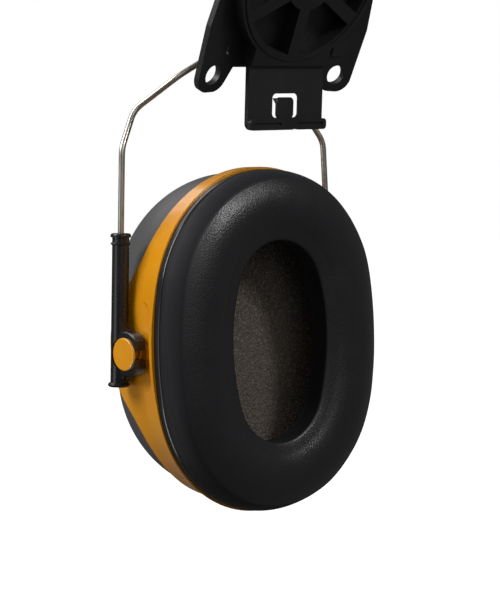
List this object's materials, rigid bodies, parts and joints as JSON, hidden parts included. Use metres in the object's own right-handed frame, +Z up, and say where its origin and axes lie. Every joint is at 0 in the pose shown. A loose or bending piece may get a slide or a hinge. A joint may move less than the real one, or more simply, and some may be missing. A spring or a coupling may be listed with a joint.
{
  "type": "helmet-mounted earmuff",
  "caption": "Helmet-mounted hearing protection earmuff: plug-in bracket, swivel, sprung wire fork, sliding sockets and a tilting oval cup with a soft ear cushion.",
  "frame": {"origin": "middle of the plug-in blade at its fold line, where the bracket meets the helmet's slot", "axes": "+Z up, -Y towards the wearer's head, +X forward or back along the cheek; the cushion faces -Y"},
  "size_m": [0.0932, 0.0759, 0.188],
  "materials": {
    "bracket_black": "fine moulded grain",
    "swivel_black": "satin moulded",
    "socket_black": "satin moulded",
    "wire_steel": "drawn spring wire",
    "fastener_steel": "zinc plated",
    "friction_grey": "plain",
    "shell_grey": "fine moulded grain",
    "ring_yellow": "gloss moulded",
    "plate_black": "satin moulded",
    "cushion_black": "grained vinyl",
    "foam_core": "soft foam",
    "foam_liner": "open-cell foam"
  },
  "bodies": {
    "bracket": {"helmet_adapter": "bracket_black", "hub_nut": "fastener_steel", "friction_washer": "friction_grey", "hub_washer": "fastener_steel", "hub_screw": "fastener_steel"},
    "swivel": {"swivel_housing": "swivel_black", "housing_cover": "swivel_black", "cover_screws": "fastener_steel", "flip_pin": "fastener_steel", "detent_leaf": "fastener_steel"},
    "fork": {"wire_carrier": "swivel_black", "carrier_cap": "swivel_black", "carrier_screws": "fastener_steel", "fork_wire": "wire_steel"},
    "socket_front": {"arm_socket_front": "socket_black", "wire_bush_front": "socket_black"},
    "socket_rear": {"arm_socket_rear": "socket_black", "wire_bush_rear": "socket_black"},
    "cup": {"outer_shell": "shell_grey", "band_ring": "ring_yellow", "pivot_stud_front": "ring_yellow", "pivot_stud_rear": "ring_yellow", "cushion_plate": "plate_black", "ear_cushion": "cushion_black", "cushion_foam": "foam_core", "foam_liner": "foam_liner"}
  },
  "joints": [
    {"name": "swivel_turn", "type": "hinge", "parent": "bracket", "child": "swivel", "pos_m": [0, -0.00386, 0.02772], "axis": [0, 0.9135, 0.4067], "range_deg": [-100, 100]},
    {"name": "fork_flip", "type": "hinge", "parent": "swivel", "child": "fork", "pos_m": [0, 0.01292, 0.01166], "axis": [1, 0, 0], "range_deg": [0, 35]},
    {"name": "slide_front", "type": "slide", "parent": "fork", "child": "socket_front", "axis": [0, 0, 1], "range_m": [-0.015, 0.01]},
    {"name": "slide_rear", "type": "slide", "parent": "fork", "child": "socket_rear", "axis": [0, 0, 1], "range_m": [-0.015, 0.01]},
    {"name": "cup_tilt", "type": "hinge", "parent": "socket_front", "child": "cup", "pos_m": [-0.042, 0.0221, -0.08207], "axis": [1, 0, 0], "range_deg": [-15, 15]}
  ],
  "couplings": [
    {"joint": "slide_rear", "follows": "slide_front", "ratio": 1}
  ]
}
